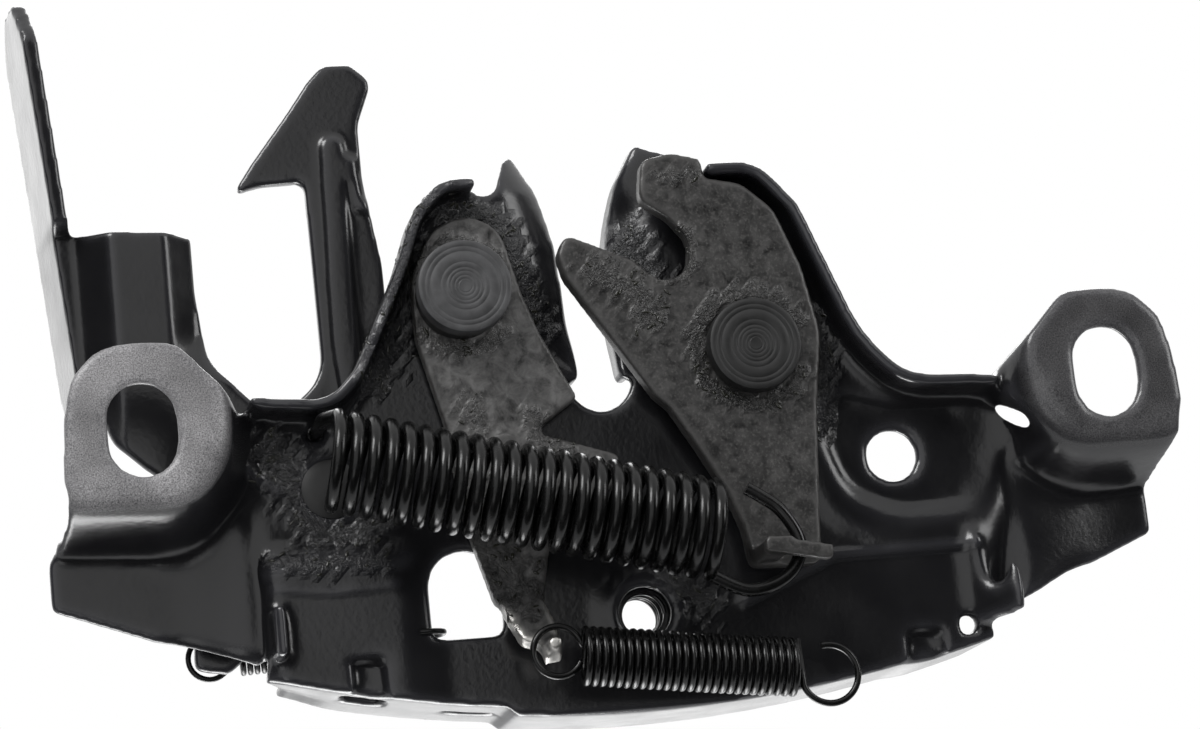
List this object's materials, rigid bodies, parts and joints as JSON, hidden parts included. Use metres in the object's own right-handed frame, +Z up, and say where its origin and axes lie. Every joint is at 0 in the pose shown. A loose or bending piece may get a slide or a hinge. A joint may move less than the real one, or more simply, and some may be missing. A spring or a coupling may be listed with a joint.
{
  "type": "bonnet latch",
  "caption": "Stamped steel bonnet latch with a forked catch, spring-loaded pawl, safety hook lever with handle, and raised bolt ears.",
  "frame": {"origin": "centre of the latched striker, on the front face of the plate", "axes": "+X across the plate to the right seen from the front, +Y from the front to the back, +Z up as fitted"},
  "size_m": [0.183, 0.0466, 0.1282],
  "materials": {
    "coated_steel": "black electro-coat, satin to gloss",
    "phosphated_steel": "dark phosphate with grease",
    "rivet_steel": "turned, dark phosphate",
    "spring_steel": "black coated wire",
    "plated_steel": "zinc plated"
  },
  "bodies": {
    "frame": {"base_plate": "coated_steel", "weld_nut": "coated_steel", "catch_rivet": "rivet_steel", "pawl_rivet": "rivet_steel", "safety_rivet": "rivet_steel", "pawl_spacer": "rivet_steel", "safety_washer": "plated_steel", "catch_spring": "spring_steel", "safety_spring": "spring_steel"},
    "catch": {"catch": "phosphated_steel"},
    "pawl": {"pawl": "phosphated_steel", "pawl_spring": "spring_steel"},
    "safety_lever": {"safety_lever": "coated_steel"}
  },
  "joints": [
    {"name": "catch_pivot", "type": "hinge", "parent": "frame", "child": "catch", "pos_m": [0.0237, 0, 0.002], "axis": [0, -1, 0], "range_deg": [0, 48], "stiffness_Nm_per_rad": 0.3, "springref_deg": -22.92, "deforming": ["catch_spring"]},
    {"name": "pawl_pivot", "type": "hinge", "parent": "frame", "child": "pawl", "pos_m": [-0.022, 0, 0.014], "axis": [0, 1, 0], "range_deg": [-8, 10], "stiffness_Nm_per_rad": 0.15, "deforming": ["pawl_spring"]},
    {"name": "safety_pivot", "type": "hinge", "parent": "frame", "child": "safety_lever", "pos_m": [-0.0445, 0, -0.015], "axis": [0, 1, 0], "range_deg": [0, 20], "stiffness_Nm_per_rad": 0.3, "springref_deg": -28.65, "deforming": ["safety_spring"]}
  ]
}
